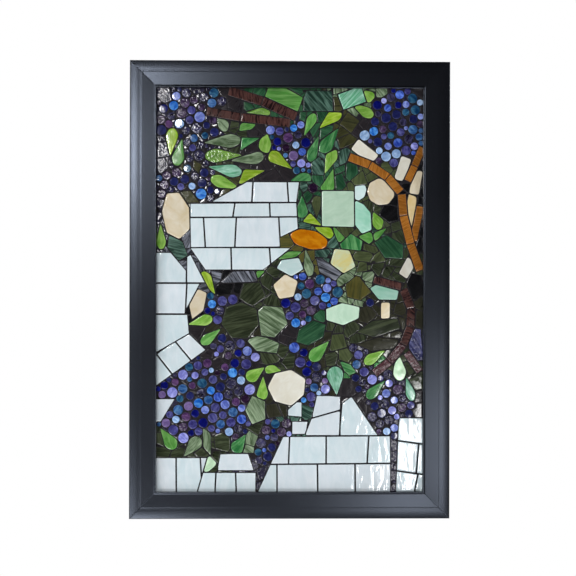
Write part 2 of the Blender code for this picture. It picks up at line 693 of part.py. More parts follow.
def build_mosaic(group, tools, grout, glass):
    """The grout bed with its small glass, and the larger glass as pieces of their own."""
    pieces = laid_mosaic()
    depth = {
        "stone": STONE_GLASS, "cream": ACCENT_GLASS, "mint": ACCENT_GLASS, "orange": ACCENT_GLASS,
        "slab": SLAB_GLASS, "amber": AMBER_GLASS, "plum": PLUM_GLASS,
        "leaf": LEAF_GLASS, "shard": SHARD_GLASS, "grape": GRAPE_GLASS,
    }
    fixed_nodes = 6
    large = [piece for piece in pieces if piece["kind"] in ("cream", "mint", "orange")]
    stones = sorted((piece for piece in pieces if piece["kind"] == "stone"), key=lambda p: -area(p["outline"]))
    large += stones[:NODE_LIMIT - fixed_nodes - len(large)]
    counts = {}
    for piece in large:
        kind = piece["kind"]
        counts[kind] = counts.get(kind, 0) + 1
        name = f"{kind}_glass_{counts[kind]:02d}"
        slab_object(name, [piece["outline"]], BED_BACK, BED_BACK + depth[kind], glass[kind], group)
    bed = slab_object("grout_bed", [board_outline()], BED_BACK, BED_FRONT, grout, group)
    seats = [grown(piece["outline"], SEAT_GAP) for piece in large]
    overrun = BED_THICKNESS
    shape_bed(bed, "seats", "DIFFERENCE", seats, BED_BACK - overrun, BED_FRONT + overrun, grout, tools)
    for kind, glass_depth in depth.items():
        small = [piece["outline"] for piece in pieces if piece["kind"] == kind and piece not in large]
        if small:
            shape_bed(bed, "small_" + kind, "UNION", small, PRISM_ROOT, BED_BACK + glass_depth, grout, tools)


def build_panel():
    """Build every part of the panel."""
    panel, tools = emptied_scene()
    black = finish("satin_black_wood", (0.035, 0.036, 0.045), 0.38)
    board = finish("back_board", (0.42, 0.30, 0.19), 0.75)
    grout = finish("grout", (0.035, 0.032, 0.040), 0.80)
    glass = {
        "stone": finish("opal_glass", (0.68, 0.76, 0.80), 0.15),
        "cream": finish("cream_glass", (0.76, 0.68, 0.50), 0.15),
        "mint": finish("mint_glass", (0.52, 0.74, 0.60), 0.15),
        "orange": finish("orange_glass", (0.70, 0.25, 0.02), 0.15),
    }
    slab_object("back_board", [board_outline()], 0.0, BOARD_THICKNESS, board, panel)
    build_frame(black, panel)
    build_mosaic(panel, tools, grout, glass)


build_panel()
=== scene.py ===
"""Looks of a framed glass mosaic wall panel: a grape vine over a pale stone wall.

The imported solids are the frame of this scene. Their glass is read from them, recut with worn edges
and dressed as sheet glass; small grapes and chips fill the room between. Metres, X to the right, Z
up, the front looks along -Y.
"""

import logging
import math
import random
from dataclasses import dataclass, field
from enum import Enum

import bpy
import numpy as np
from mathutils import Matrix, Vector, noise


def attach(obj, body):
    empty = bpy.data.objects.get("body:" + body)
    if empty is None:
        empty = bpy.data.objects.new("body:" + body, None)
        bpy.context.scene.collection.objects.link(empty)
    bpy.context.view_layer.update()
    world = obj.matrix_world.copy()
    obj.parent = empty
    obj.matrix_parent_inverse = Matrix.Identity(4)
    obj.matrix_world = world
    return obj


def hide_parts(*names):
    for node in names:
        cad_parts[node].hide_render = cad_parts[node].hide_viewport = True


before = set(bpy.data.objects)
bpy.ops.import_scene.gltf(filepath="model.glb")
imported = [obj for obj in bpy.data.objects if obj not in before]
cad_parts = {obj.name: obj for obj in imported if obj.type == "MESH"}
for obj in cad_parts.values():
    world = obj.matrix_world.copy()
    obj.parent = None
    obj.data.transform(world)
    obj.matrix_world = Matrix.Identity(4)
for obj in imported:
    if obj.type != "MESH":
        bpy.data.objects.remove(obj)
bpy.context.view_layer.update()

LOG = logging.getLogger("glass_wall_panel")

Point = tuple[float, float]
Outline = list[Point]
Colour = tuple[float, float, float]
Face = tuple[int, ...]
Socket = bpy.types.NodeSocket
Material = bpy.types.Material
Object = bpy.types.Object


class Kind(Enum):
    """What a piece of glass is in the picture."""

    STONE = "stone"
    CREAM = "cream"
    MINT = "mint"
    ORANGE = "orange"
    SLAB = "slab"
    SHARD = "shard"
    CHIP = "chip"
    LEAF = "leaf"
    AMBER = "amber"
    PLUM = "plum"
    GRAPE = "grape"


def paint(red: float, green: float, blue: float) -> Colour:
    """Turn a colour as the eye reads it, 0 to 255, into the light that it sends back."""
    shares = (red / 255, green / 255, blue / 255)
    return tuple(s / 12.92 if s <= 0.04045 else ((s + 0.055) / 1.055) ** 2.4 for s in shares)


# Flat outlines


def pairs(corners: list) -> list[tuple]:
    """Each corner of a closed outline with the next one."""
    return list(zip(corners, corners[1:] + corners[:1]))


def area(outline: Outline) -> float:
    """Area of a flat outline, positive when it runs anticlockwise."""
    return 0.5 * sum(a[0] * b[1] - b[0] * a[1] for a, b in pairs(outline))


def middle(outline: Outline) -> Point:
    """Mean of the corners of an outline."""
    return sum(x for x, _ in outline) / len(outline), sum(z for _, z in outline) / len(outline)


def sides(outline: Outline) -> list[tuple[float, float, float]]:
    """Outward normal and offset of each side of a convex outline.

    Args:
        outline: Corners in anticlockwise order.

    Returns:
        One (nx, nz, offset) for each side.
    """
    lines = []
    for a, b in pairs(outline):
        length = math.dist(a, b)
        if length > 1e-7:
            nx, nz = (b[1] - a[1]) / length, (a[0] - b[0]) / length
            lines.append((nx, nz, nx * a[0] + nz * a[1]))
    return lines


def cut(outline: Outline, nx: float, nz: float, limit: float) -> Outline:
    """Keep the part of a convex outline on one side of a straight cut.

    Args:
        outline: Corners in anticlockwise order.
        nx: First share of the cut's normal.
        nz: Second share of the cut's normal.
        limit: Offset of the cut; what lies beyond it is dropped.

    Returns:
        The corners that are left, none when nothing is left.
    """
    kept = []
    for a, b in pairs(outline):
        depth_a = nx * a[0] + nz * a[1] - limit
        depth_b = nx * b[0] + nz * b[1] - limit
        if depth_a <= 0:
            kept.append(a)
        if depth_a * depth_b < 0:
            share = depth_a / (depth_a - depth_b)
            kept.append((a[0] + share * (b[0] - a[0]), a[1] + share * (b[1] - a[1])))
    return kept


def ring(centre: Point, radius: float, count: int, start: float = 0.0) -> Outline:
    """Corners of a regular outline in anticlockwise order, the first one at the start angle."""
    angles = [start + 2 * math.pi * step / count for step in range(count)]
    return [(centre[0] + radius * math.cos(a), centre[1] + radius * math.sin(a)) for a in angles]


def front_outlines(mesh: bpy.types.Mesh) -> list[tuple[float, Outline]]:
    """Read the outlines of the flat faces that look forwards.

    Args:
        mesh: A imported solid.

    Returns:
        For each face its height above the back and its corners in anticlockwise order.
    """
    edges: set[tuple[tuple, tuple]] = set()
    for polygon in mesh.polygons:
        if polygon.normal.y > -0.99:
            continue
        corners = [tuple(round(c, 6) for c in mesh.vertices[i].co) for i in polygon.vertices]
        for a, b in pairs(corners):
            if (b, a) in edges:
                edges.remove((b, a))
            else:
                edges.add((a, b))
    following = dict(sorted(edges))
    found = []
    while following:
        start, corner = following.popitem()
        loop = [start]
        while corner != start and corner in following:
            loop.append(corner)
            corner = following.pop(corner)
        found.append((-start[1], [(x, z) for x, _, z in loop]))
    return found


# Meshes and pieces


def bands(start: int, size: int, count: int) -> list[Face]:
    """Faces between rings of points that follow each other.

    Args:
        start: Number of the first point.
        size: Points in a ring.
        count: Bands between the rings.

    Returns:
        The numbers of the corners of each face.
    """
    return [
        (low + step, low + (step + 1) % size, low + size + (step + 1) % size, low + size + step)
        for low in range(start, start + count * size, size) for step in range(size)
    ]


def shaped(
    name: str, vertices: list, faces: list[Face], material: Material,
    marks: dict[str, list] | None = None,
) -> Object:
    """Make a smooth object and link it to the scene.

    Args:
        name: Its name.
        vertices: Its points.
        faces: The numbers of the points of each face.
        material: Its finish.
        marks: Vectors that its points carry for the finish, point by point.

    Returns:
        The object.
    """
    mesh = bpy.data.meshes.new(name)
    mesh.from_pydata(vertices, [], faces)
    for mark, values in (marks or {}).items():
        layer = mesh.attributes.new(mark, "FLOAT_VECTOR", "POINT")
        layer.data.foreach_set("vector", np.asarray(values, np.float32).ravel())
    mesh.polygons.foreach_set("use_smooth", [True] * len(faces))
    mesh.materials.append(material)
    mesh.update()
    made = bpy.data.objects.new(name, mesh)
    bpy.context.scene.collection.objects.link(made)
    return made


def set_piece(piece: Object, solid: str, slot: str = "") -> None:
    """Set a piece in the panel in place of a solid.

    Args:
        piece: The piece.
        solid: Name of the solid that it stands for.
        slot: Slot of the record that its finish comes from, where it has one; not used.
    """
    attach(piece, "root")
    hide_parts(solid)
    LOG.info("%s set, %d faces", piece.name, len(piece.data.polygons))


# Sheets of glass


@dataclass(frozen=True)
class Sheet:
    """A sheet of glass that pieces are cut from: its two colours, and how rough its face is."""

    body: Colour
    streak: Colour
    grit: float = 0.0


# Body and streak of each sheet as the eye reads them, 0 to 255, and the grit of a rough one
SHEETS = {name: Sheet(paint(*row[:3]), paint(*row[3:6]), *row[6:]) for name, row in {
    "opal": (201, 218, 224, 217, 227, 232), "pearl": (206, 218, 225, 219, 226, 232),
    "cream": (214, 198, 164, 225, 216, 196), "ivory": (210, 206, 191, 219, 218, 208),
    "honey": (228, 200, 140, 236, 218, 176), "mint": (180, 212, 188, 198, 224, 203),
    "sea_mint": (140, 196, 172, 168, 210, 194), "ice": (186, 214, 214, 204, 222, 222),
    "mint_honey": (184, 202, 178, 198, 186, 116), "orange": (170, 94, 4, 192, 126, 16),
    "lime": (106, 158, 56, 156, 192, 104), "sharp_lime": (124, 160, 34, 170, 190, 86),
    "leaf_green": (76, 136, 60, 122, 172, 98), "deep_green": (44, 108, 58, 100, 156, 100),
    "forest": (28, 62, 42, 54, 96, 66), "pine": (30, 52, 44, 92, 126, 112),
    "olive": (74, 84, 54, 52, 58, 40), "moss": (37, 43, 30, 68, 76, 55),
    "grey_green": (74, 94, 66, 152, 172, 142), "pale_mint": (178, 214, 178, 206, 228, 200),
    "teal_green": (84, 152, 116, 162, 206, 188), "brown": (50, 50, 38, 36, 36, 28),
    "bronze": (66, 66, 40, 42, 44, 30), "gold": (88, 84, 42, 62, 66, 40), "black": (13, 13, 15, 22, 22, 24),
    "smoke": (40, 42, 48, 134, 138, 150), "wine": (62, 34, 36, 38, 24, 28),
    "night": (34, 32, 48, 50, 48, 70, 0.75), "dusk": (44, 40, 43, 33, 31, 35),
    "granite": (38, 40, 80, 108, 112, 164, 1.0), "grit_green": (80, 124, 44, 132, 172, 82, 1.0),
    "amber": (130, 78, 26, 174, 116, 50), "plum": (82, 54, 50, 30, 18, 20),
    "plum_grit": (56, 28, 32, 92, 62, 68, 1.0), "periwinkle": (80, 96, 176, 142, 158, 216),
    "lavender": (110, 114, 194, 168, 172, 230), "pale_blue": (126, 160, 210, 178, 204, 234),
    "royal": (34, 60, 156, 92, 124, 208), "azure": (20, 90, 186, 88, 156, 222),
    "cobalt": (6, 10, 84, 14, 22, 116), "steel_blue": (30, 68, 126, 84, 128, 176),
    "teal_blue": (14, 54, 94, 56, 106, 134), "slate_violet": (52, 52, 108, 94, 96, 154),
    "violet": (44, 42, 98, 80, 80, 142), "plum_grape": (56, 34, 74, 98, 68, 112),
    "mauve": (98, 80, 130, 126, 108, 158), "navy": (22, 26, 72, 36, 42, 96),
    "grape_grit": (24, 22, 42, 62, 60, 96, 1.0), "mauve_grit": (40, 28, 52, 84, 68, 102, 1.0),
    "black_grape": (26, 14, 34, 44, 24, 50),
}.items()}

# Which sheet the pieces near a place are cut from; places are hundredths of the picture's width and
# height in turn, from its upper left corner
PLACES = {
    Kind.STONE: {"opal": (50, 50)},
    Kind.CREAM: {
        "cream": (7, 31, 16, 53, 49, 49, 84, 26, 98, 23, 86, 55), "mint_honey": (70, 43),
        "ivory": (49, 74, 78, 16, 93, 20, 94, 45), "honey": (96, 31),
    },
    Kind.MINT: {"mint": (67, 30, 70, 56), "ice": (76, 25, 50, 45), "sea_mint": (77, 32, 86, 50)},
    Kind.ORANGE: {"orange": (50, 50)},
    Kind.AMBER: {"amber": (50, 50)},
    Kind.PLUM: {"plum": (40, 5, 90, 49, 95, 56), "plum_grit": (90, 68)},
    Kind.LEAF: {
        "grey_green": (24, 8, 27, 15, 35, 16, 71, 12, 85, 45, 57, 45, 33, 50, 16, 89),
        "leaf_green": (
            33, 10, 8, 15, 27, 18, 44, 30, 57, 9, 64, 22, 73, 23, 69, 37, 75, 36, 82, 38, 51, 41, 20, 61,
            37, 46, 48, 41, 60, 61, 5, 87,
        ),
        "lime": (
            38, 13, 20, 20, 24, 25, 44, 5, 78, 5, 65, 17, 81, 31, 82, 34, 83, 41, 2, 38, 16, 58, 37, 73,
            43, 71, 40, 75, 81, 65, 88, 66,
        ),
        "sharp_lime": (4, 12, 38, 20, 45, 21, 64, 7, 59, 32, 61, 35, 19, 49),
        "teal_green": (20, 13, 28, 22, 66, 10, 68, 73, 95, 74),
        "deep_green": (32, 12, 63, 15, 55, 27, 88, 39, 16, 43, 31, 88, 82, 75),
        "grit_green": (20, 17, 35, 4), "pine": (69, 19, 98, 38), "olive": (60, 27),
        "forest": (91, 42, 60, 56), "pale_mint": (20, 94, 91, 70),
    },
    Kind.SLAB: {
        "leaf_green": (45, 2), "pine": (60, 3, 8, 40), "teal_green": (73, 2),
        "moss": (32, 58, 36, 51, 84, 59), "grey_green": (42, 58, 40, 64, 37, 80), "smoke": (65, 45, 31, 47),
        "gold": (76, 50), "deep_green": (73, 40), "black": (88, 31, 96, 49), "forest": (88, 40, 58, 61),
        "brown": (84, 63), "granite": (97, 62),
    },
    Kind.SHARD: {
        "dusk": (30, 5, 28, 8, 40, 14, 78, 8, 47, 60, 36, 69, 74, 78, 80, 80, 93, 80, 10, 72),
        "forest": (37, 4, 60, 8, 72, 20, 30, 84),
        "moss": (
            30, 10, 87, 34, 90, 46, 40, 52, 43, 66, 72, 62, 66, 69, 90, 77, 95, 71, 5, 75, 37, 86, 20, 87,
            3, 90,
        ),
        "night": (18, 10, 2, 26, 12, 79, 42, 90, 87, 93), "bronze": (15, 24, 69, 7, 70, 12),
        "grey_green": (74, 4, 72, 49, 35, 86), "olive": (75, 21, 79, 40, 70, 65),
        "pine": (68, 16, 85, 36, 64, 42, 46, 84), "black": (90, 32, 66, 50, 28, 49), "gold": (60, 45),
        "smoke": (62, 49, 22, 44), "brown": (95, 52, 88, 56, 37, 62, 80, 60, 63, 66, 60, 72, 42, 80),
        "wine": (47, 55), "deep_green": (75, 72),
    },
}
PLACES[Kind.CHIP] = PLACES[Kind.SHARD]

# How often a grape is cut from each sheet
GRAPE_SHEETS = {
    "periwinkle": 8, "lavender": 6, "pale_blue": 6, "royal": 10, "azure": 7, "cobalt": 9, "steel_blue": 8,
    "teal_blue": 7, "slate_violet": 12, "violet": 10, "plum_grape": 5, "mauve": 2, "navy": 13,
    "grape_grit": 9, "mauve_grit": 3, "black_grape": 3,
}

# Clusters with much rough glass: place, reach and share of rough grapes
ROUGH_CLUSTERS = ((0.10, 0.12, 0.24, 0.55), (0.86, 0.80, 0.16, 0.35), (0.40, 0.88, 0.12, 0.25))


@dataclass
class Tile:
    """One piece of glass: its outline, its heights above the back, and what it is cut from."""

    kind: Kind
    outline: Outline
    front: float
    back: float
    node: str = ""
    radius: float = 0.0
    sheet: Sheet = SHEETS["opal"]
    shade: float = 1.0
    grain: float = 0.0
    seed: float = 0.0


@dataclass
class Picture:
    """All the glass of the picture: what the solids hold, and the small pieces between."""

    opening_width: float = 0.3950
    opening_height: float = 0.5982
    under_lip: float = 0.0020
    bed_back: float = 0.0063
    bed_front: float = 0.0087
    prism_root: float = 0.0075
    step: float = 0.00075
    laying_seed: int = 11
    colour_seed: int = 5
    grape_joint: float = 0.0007
    chip_joint: float = 0.0010
    grape_least: float = 0.0030
    grape_most: float = 0.0078
    grape_front: float = 0.0099
    grape_trim: float = 0.955
    chip_front: float = 0.0090
    chip_reach: float = 0.0150
    chip_growth: float = 2.3
    chip_room: float = 0.0017
    chip_side: float = 0.0034
    chip_tries: int = 900
    sunk: float = 0.0006
    neighbour_reach: float = 0.09
    grape_reach: float = 0.012
    tiles: list[Tile] = field(default_factory=list)

    @property
    def half(self) -> Point:
        """Half the width and half the height that the glass covers."""
        return self.opening_width / 2 + self.under_lip, self.opening_height / 2 + self.under_lip

    def read(self) -> None:
        """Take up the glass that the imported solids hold."""
        # The solids tell the kinds apart by the height of their fronts
        by_height = {
            0.0099: Kind.GRAPE, 0.0098: Kind.PLUM, 0.0097: Kind.AMBER, 0.0095: Kind.STONE,
            0.0094: Kind.LEAF, 0.0093: Kind.SLAB, 0.0091: Kind.SHARD,
        }
        for name, node in sorted(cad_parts.items()):
            word = name.split("_")[0]
            if name == "grout_bed":
                for height, outline in front_outlines(node.data):
                    kind = by_height.get(round(height, 4))
                    if kind:
                        self.tiles.append(Tile(kind, outline, height, self.prism_root))
            elif word in ("stone", "cream", "mint", "orange"):
                height, outline = max(front_outlines(node.data), key=lambda face: area(face[1]))
                self.tiles.append(Tile(Kind(word), outline, height, self.bed_back, node=name))
        self.tiles.sort(key=lambda tile: (tile.kind.value, middle(tile.outline)))
        for tile in self.tiles:
            if tile.kind is Kind.GRAPE:
                tile.radius = self.grape_trim * math.dist(tile.outline[0], middle(tile.outline))

    def fill(self) -> None:
        """Lay small grapes in the clusters and chips in the ground wherever there is room."""
        draw = random.Random(self.laying_seed)
        room = Room(self)
        for tile in self.tiles:
            room.take(tile)
        cluster = room.clusters(self.tiles)
        everywhere = np.ones(cluster.shape, bool)
        back = self.bed_front - self.sunk
        while True:
            clear, place = room.widest(cluster)
            radius = min(clear - self.grape_joint, self.grape_most * draw.uniform(0.86, 1.04))
            if radius < self.grape_least:
                break
            outline = ring(place, radius, 8, draw.uniform(0, 1))
            self.lay(Tile(Kind.GRAPE, outline, self.grape_front, back, radius=radius), room)
        for _ in range(self.chip_tries):
            clear, place = room.widest(everywhere)
            if clear < self.chip_room:
                break
            outline = self.chip(place, min(self.chip_reach, self.chip_growth * clear), draw)
            if len(outline) > 2 and area(outline) > self.chip_side ** 2:
                self.lay(Tile(Kind.CHIP, outline, self.chip_front, back), room)
            room.block(place)

    def lay(self, tile: Tile, room: "Room") -> None:
        """Lay one more piece."""
        self.tiles.append(tile)
        room.take(tile)

    def chip(self, place: Point, reach: float, draw: random.Random) -> Outline:
        """Cut a chip to the room between the pieces beside it.

        Args:
            place: Where it goes.
            reach: How far it may reach from there.
            draw: Source of chance.

        Returns:
            Its corners, fewer than three when there is no room.
        """
        outline = ring(place, reach, draw.choice((5, 6)), draw.uniform(0, 1.3))
        for nx, nz in ((1, 0), (-1, 0), (0, 1), (0, -1)):
            outline = cut(outline, nx, nz, self.half[0] if nx else self.half[1])
        for tile in self.tiles:
            far = max(abs(place[0] - tile.outline[0][0]), abs(place[1] - tile.outline[0][1]))
            if far > self.neighbour_reach or len(outline) < 3:
                continue
            joint = self.chip_joint
            if any(
                min(nx * x + nz * z for x, z in tile.outline) >= limit + joint - 1e-9
                for nx, nz, limit in sides(outline)
            ):
                continue
            left = [cut(outline, -nx, -nz, -limit - joint) for nx, nz, limit in sides(tile.outline)]
            left = [kept for kept in left if len(kept) > 2]
            outline = max(left, key=area) if left else []
        return outline

    def colour(self) -> None:
        """Choose the sheet, the shade, the seed and the grain of every piece."""
        draw = random.Random(self.colour_seed)
        names, weights = list(GRAPE_SHEETS), list(GRAPE_SHEETS.values())
        places = {
            kind: [
                (across / 100, down / 100, name)
                for name, spots in table.items() for across, down in zip(spots[::2], spots[1::2])
            ]
            for kind, table in PLACES.items()
        }
        for tile in self.tiles:
            x, z = middle(tile.outline)
            u, v = x / self.opening_width + 0.5, 0.5 - z / self.opening_height
            if tile.kind is Kind.GRAPE:
                name = draw.choices(names, weights)[0]
                for cu, cv, reach, share in ROUGH_CLUSTERS:
                    if math.hypot(u - cu, v - cv) < reach and draw.random() < share:
                        name = draw.choice(("grape_grit", "mauve_grit", "grape_grit", "navy"))
            else:
                name = min(places[tile.kind], key=lambda p: math.hypot(u - p[0], 1.5 * (v - p[1])))[2]
                if tile.kind is Kind.STONE:
                    name = draw.choice(("opal", "opal", "pearl"))
                if tile.kind is Kind.CHIP and self.among_grapes(tile):
                    name = draw.choice(("dusk", "night", "dusk"))
            tile.sheet = SHEETS[name]
            tile.shade = draw.uniform(0.97, 1.04) if tile.kind is Kind.STONE else draw.uniform(0.84, 1.10)
            tile.seed = draw.uniform(0, 60)
            tile.grain = self.grain(tile, draw)

    def among_grapes(self, tile: Tile) -> bool:
        """Whether two grapes lie close beside a piece."""
        here, grapes = middle(tile.outline), (t.outline for t in self.tiles if t.kind is Kind.GRAPE)
        return sum(math.dist(middle(grape), here) < self.grape_reach for grape in grapes) > 1

    @staticmethod
    def grain(tile: Tile, draw: random.Random) -> float:
        """Angle of the streaks in a piece.

        Args:
            tile: The piece.
            draw: Source of chance.

        Returns:
            The angle from the X axis.
        """
        centre = middle(tile.outline)
        far = max(tile.outline, key=lambda corner: math.dist(corner, centre))
        length = math.atan2(far[1] - centre[1], far[0] - centre[0])
        if tile.kind is Kind.AMBER:
            return length + math.pi / 2
        if tile.kind in (Kind.LEAF, Kind.PLUM, Kind.ORANGE):
            return length + draw.uniform(-0.3, 0.3)
        if tile.kind is Kind.STONE:
            return math.pi / 2 + draw.uniform(-0.15, 0.15)
        return draw.uniform(0, math.pi)


class Room:
    """A fine grid over the picture that knows how far each place is from the nearest piece.

    Its distances are how far the grid runs past the edge, how far round a piece or a try it is
    brought up to date, and how near grapes are to each other and to the rim of a cluster.
    """

    OVER_EDGE = 0.0004
    ROUND_A_PIECE = 0.018
    ROUND_A_TRY = 0.0015
    CLUSTER_REACH = 0.026
    CLUSTER_RIM = 0.0105

    def __init__(self, picture: Picture) -> None:
        """Start with an empty picture.

        Args:
            picture: It gives the size of the grid.
        """
        half_width, half_height = picture.half
        self.xs = np.arange(-half_width, half_width, picture.step)
        self.zs = np.arange(-half_height, half_height, picture.step)
        across = half_width - np.abs(self.xs)
        up = half_height - np.abs(self.zs)
        self.clear = np.minimum(across[None, :], up[:, None]) + self.OVER_EDGE

    def window(self, centre: Point, reach: float) -> tuple[slice, slice, np.ndarray, np.ndarray]:
        """Part of the grid round a place.

        Args:
            centre: The place.
            reach: Half the size of the window.

        Returns:
            Its rows, its columns, and the X and Z of its points.
        """
        left, right = np.searchsorted(self.xs, (centre[0] - reach, centre[0] + reach))
        low, high = np.searchsorted(self.zs, (centre[1] - reach, centre[1] + reach))
        x, z = np.meshgrid(self.xs[left:right], self.zs[low:high])
        return slice(low, high), slice(left, right), x, z

    def take(self, tile: Tile) -> None:
        """Note that a piece takes up its place.

        Args:
            tile: The piece.
        """
        centre = middle(tile.outline)
        reach = max(math.dist(centre, corner) for corner in tile.outline)
        rows, columns, x, z = self.window(centre, reach + self.ROUND_A_PIECE)
        if tile.radius:
            away = np.hypot(x - centre[0], z - centre[1]) - tile.radius
        else:
            away = np.full(x.shape, 9.0)
            within = np.full(x.shape, -9.0)
            for a, b in pairs(tile.outline):
                ex, ez = b[0] - a[0], b[1] - a[1]
                size = ex * ex + ez * ez
                if size < 1e-12:
                    continue
                share = np.clip(((x - a[0]) * ex + (z - a[1]) * ez) / size, 0, 1)
                away = np.minimum(away, np.hypot(x - a[0] - share * ex, z - a[1] - share * ez))
                depth = ((x - a[0]) * ez - (z - a[1]) * ex) / math.sqrt(size)
                within = np.maximum(within, depth)
            away = np.where(within < 0, -away, away)
        self.clear[rows, columns] = np.minimum(self.clear[rows, columns], away)

    def block(self, place: Point) -> None:
        """Try no more pieces at a place."""
        rows, columns, _, _ = self.window(place, self.ROUND_A_TRY)
        self.clear[rows, columns] = -1.0

    def clusters(self, tiles: list[Tile]) -> np.ndarray:
        """Where grapes belong: close to several grapes of the solids.

        Args:
            tiles: The pieces laid so far.

        Returns:
            A mask over the grid.
        """
        near = np.zeros(self.clear.shape)
        close = np.zeros(self.clear.shape, bool)
        for tile in tiles:
            if tile.kind is Kind.GRAPE:
                centre = middle(tile.outline)
                rows, columns, x, z = self.window(centre, self.CLUSTER_REACH)
                away = np.hypot(x - centre[0], z - centre[1])
                near[rows, columns] += away < self.CLUSTER_REACH
                close[rows, columns] |= away < tile.radius + self.CLUSTER_RIM
        return (near >= 2) & close

    def widest(self, mask: np.ndarray) -> tuple[float, Point]:
        """Find the most open place.

        Args:
            mask: Where to look.

        Returns:
            How far it is from the nearest piece, and the place.
        """
        clear = np.where(mask, self.clear, -1.0)
        row, column = np.unravel_index(np.argmax(clear), clear.shape)
        return float(clear[row, column]), (float(self.xs[column]), float(self.zs[row]))


# Cutting the glass


@dataclass(frozen=True)
class Cutting:
    """How a maker cuts and sets one kind of glass: metres, and the angle of a sharp corner."""

    corner: float = 0.0007
    arris: float = 0.00035
    crown: float = 0.00005
    wave: float = 0.00004
    wave_length: float = 0.011
    wander: float = 0.00022
    tilt: float = 0.00012
    sharp: float = 1.2
    nibbling: float = 0.035
    fine_nibbling: float = 0.018
    point_spacing: float = 0.0022
    least_spacing: float = 0.00012
    chipping: float = 260
    inner_ring: float = 0.93
    ring_spacing: float = 0.0024

    def rounded(self, tile: Tile) -> tuple[np.ndarray, float]:
        """Give an outline the worn corners and the uneven edge of cut glass.

        Args:
            tile: The piece.

        Returns:
            The points of its edge, anticlockwise, and the radius of its tightest corner.
        """
        if tile.radius:
            return self.round_edge(tile), tile.radius
        points = []
        tightest = 1.0
        corners = tile.outline
        for before, (here, after) in zip(corners[-1:] + corners[:-1], pairs(corners)):
            back, on = math.dist(before, here), math.dist(here, after)
            bend = self.bend(before, here, after)
            corner = self.corner * (0.5 if bend < self.sharp else 1.0)
            reach = min(max(corner, 1.3 * self.arris / math.tan(bend / 2)), 0.46 * back, 0.46 * on)
            tightest = min(tightest, reach * math.tan(bend / 2))
            a, b = reach / back, reach / on
            start = (here[0] + (before[0] - here[0]) * a, here[1] + (before[1] - here[1]) * a)
            end = (here[0] + (after[0] - here[0]) * b, here[1] + (after[1] - here[1]) * b)
            for share in (0.0, 0.33, 0.67, 1.0):
                keep = (1 - share) ** 2, 2 * share * (1 - share), share ** 2
                points.append(tuple(
                    keep[0] * s + keep[1] * h + keep[2] * e for s, h, e in zip(start, here, end)
                ))
        spaced = []
        for a, b in pairs(points):
            parts = max(1, round(math.dist(a, b) / self.point_spacing))
            spaced += [
                (a[0] + (b[0] - a[0]) * step / parts, a[1] + (b[1] - a[1]) * step / parts)
                for step in range(parts)
            ]
        outline = np.array(spaced)
        outline = outline[np.hypot(*(outline - np.roll(outline, 1, axis=0)).T) > self.least_spacing]
        inward = inward_normals(outline)
        fine = self.chipping
        chipped = [abs(noise.noise(Vector((x * fine, z * fine, tile.seed)))) for x, z in outline]
        return outline + inward * (np.array(chipped)[:, None] * self.wander), tightest

    def round_edge(self, tile: Tile) -> np.ndarray:
        """Edge of a nibbled round piece, with the flats that the pliers leave.

        Args:
            tile: The piece.

        Returns:
            The points of its edge, anticlockwise.
        """
        centre = middle(tile.outline)
        count = 24 if tile.radius > 0.005 else 18
        points = []
        for step in range(count):
            angle = 2 * math.pi * step / count
            way = Vector((math.cos(angle), math.sin(angle), tile.seed * 3))
            flats = self.nibbling * noise.noise(way * 1.3)
            radius = tile.radius * (0.975 + flats + self.fine_nibbling * noise.noise(way * 4))
            points.append((centre[0] + radius * way.x, centre[1] + radius * way.y))
        return np.array(points)

    @staticmethod
    def bend(before: Point, here: Point, after: Point) -> float:
        """Angle inside a corner, in radians."""
        one, two = (math.atan2(end[1] - here[1], end[0] - here[0]) for end in (before, after))
        return abs((one - two + math.pi) % (2 * math.pi) - math.pi)


def inward_normals(outline: np.ndarray) -> np.ndarray:
    """Unit vector into a convex anticlockwise outline at each of its points."""
    inward = (np.roll(outline, -1, axis=0) - np.roll(outline, 1, axis=0))[:, ::-1] * (-1, 1)
    return inward / np.maximum(np.linalg.norm(inward, axis=1, keepdims=True), 1e-9)


